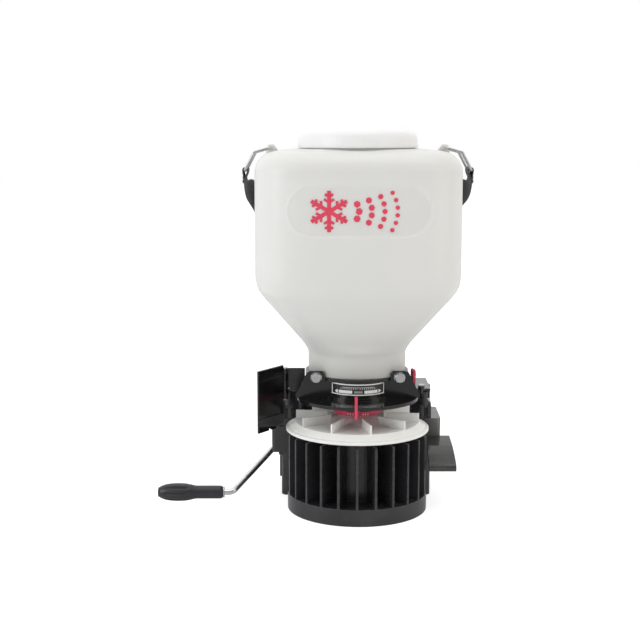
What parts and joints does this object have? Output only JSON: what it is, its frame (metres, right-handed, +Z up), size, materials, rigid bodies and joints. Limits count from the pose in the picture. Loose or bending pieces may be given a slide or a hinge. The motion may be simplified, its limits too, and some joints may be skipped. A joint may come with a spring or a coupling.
{
  "type": "handheld salt spreader",
  "caption": "Hand-cranked salt and granule spreader: white hopper in a black collar over a finned gear housing with a vaned throwing disc, crank handle and shoulder strap.",
  "frame": {"origin": "centre of the base's underside on the throwing disc's axis", "axes": "+Z up along the disc's axis, -Y towards the spread side, +X away from the crank handle"},
  "size_m": [0.3912, 0.2509, 0.472],
  "materials": {
    "black_plastic": "glossy moulded black",
    "deflector_plastic": "glossy sheet black",
    "hopper_plastic": "translucent milky white, blow moulded",
    "lid_plastic": "translucent white",
    "seal_rubber": "matte",
    "white_plastic": "satin natural white",
    "red_plastic": "satin red",
    "gear_nylon": "natural",
    "grip_plastic": "satin dark grey",
    "zinc_steel": "zinc plated",
    "bush_bronze": "sintered bronze",
    "label_plate": "printed",
    "webbing": "woven"
  },
  "bodies": {
    "root": {"base_housing": "black_plastic", "belly_plate": "black_plastic", "bottom_cover": "black_plastic", "collar_bolts": "zinc_steel", "collar_front": "black_plastic", "collar_rear": "black_plastic", "collar_washers": "zinc_steel", "cover_screws": "zinc_steel", "crank_inner_bush": "bush_bronze", "crank_outer_bush": "bush_bronze", "deflector_bracket": "black_plastic", "deflector_pin": "zinc_steel", "direction_label": "label_plate", "disc_foot_bush": "bush_bronze", "disc_shaft_bush": "bush_bronze", "gate_stop_knob": "black_plastic", "hand_rest": "black_plastic", "hopper": "hopper_plastic", "jackshaft_foot_bush": "bush_bronze", "jackshaft_top_bush": "bush_bronze", "outlet_plate": "black_plastic", "post_screws": "zinc_steel", "side_stanchions": "black_plastic", "stanchion_screws": "zinc_steel", "strap_adjuster": "black_plastic", "strap_webbing": "webbing", "support_posts": "black_plastic"},
    "throwing_disc": {"throwing_disc": "white_plastic", "disc_shaft": "zinc_steel", "disc_pinion": "gear_nylon", "disc_drive_pin": "zinc_steel", "disc_shaft_clip": "zinc_steel", "agitator": "white_plastic", "agitator_nut": "zinc_steel"},
    "jackshaft": {"jackshaft": "zinc_steel", "spur_gear": "gear_nylon", "jackshaft_bevel_pinion": "gear_nylon"},
    "crank": {"crank_rod": "zinc_steel", "crank_bevel_gear": "gear_nylon", "crank_gear_pin": "zinc_steel", "crank_stop_collar": "zinc_steel", "grip_washer": "zinc_steel", "grip_end_cap": "grip_plastic"},
    "grip": {"crank_grip": "grip_plastic"},
    "lid": {"lid": "lid_plastic", "lid_seal": "seal_rubber"},
    "direction_dial": {"direction_dial": "red_plastic", "dial_retainer": "red_plastic"},
    "feed_gate": {"feed_gate": "red_plastic"},
    "side_deflector": {"side_deflector": "deflector_plastic"},
    "strap_bail_left": {"strap_bail_left": "zinc_steel", "strap_end_left": "webbing"},
    "strap_bail_right": {"strap_bail_right": "zinc_steel", "strap_end_right": "webbing"}
  },
  "joints": [
    {"name": "crank_spin", "type": "hinge", "parent": "root", "child": "crank", "pos_m": [-0.06, 0.06, 0.06], "axis": [1, 0, 0], "continuous": true},
    {"name": "grip_spin", "type": "hinge", "parent": "crank", "child": "grip", "pos_m": [-0.208, -0.00651, 0.01925], "axis": [1, 0, 0], "continuous": true},
    {"name": "jackshaft_spin", "type": "hinge", "parent": "root", "child": "jackshaft", "pos_m": [0, 0.06, 0.03], "axis": [0, 0, 1], "continuous": true},
    {"name": "disc_spin", "type": "hinge", "parent": "root", "child": "throwing_disc", "pos_m": [0, 0, 0.05], "axis": [0, 0, 1], "continuous": true},
    {"name": "dial_turn", "type": "hinge", "parent": "root", "child": "direction_dial", "pos_m": [0, 0, 0.125], "axis": [0, 0, 1], "range_deg": [-40, 40]},
    {"name": "gate_swing", "type": "hinge", "parent": "root", "child": "feed_gate", "pos_m": [0, 0, 0.1446], "axis": [0, 0, 1], "range_deg": [-21, 0]},
    {"name": "deflector_swing", "type": "hinge", "parent": "root", "child": "side_deflector", "pos_m": [-0.0905, 0.015, 0.14], "axis": [0, 0, 1], "range_deg": [-20, 30]},
    {"name": "lid_lift", "type": "slide", "parent": "root", "child": "lid", "axis": [0, 0, 1], "range_m": [0, 0.06]},
    {"name": "strap_bail_left_swing", "type": "hinge", "parent": "root", "child": "strap_bail_left", "pos_m": [-0.107, 0.029, 0.447], "axis": [0, 1, 0], "range_deg": [0, 40]},
    {"name": "strap_bail_right_swing", "type": "hinge", "parent": "root", "child": "strap_bail_right", "pos_m": [0.107, 0.029, 0.447], "axis": [0, -1, 0], "range_deg": [0, 40]}
  ],
  "couplings": [
    {"joint": "jackshaft_spin", "follows": "crank_spin", "ratio": -2},
    {"joint": "disc_spin", "follows": "crank_spin", "ratio": 6}
  ]
}
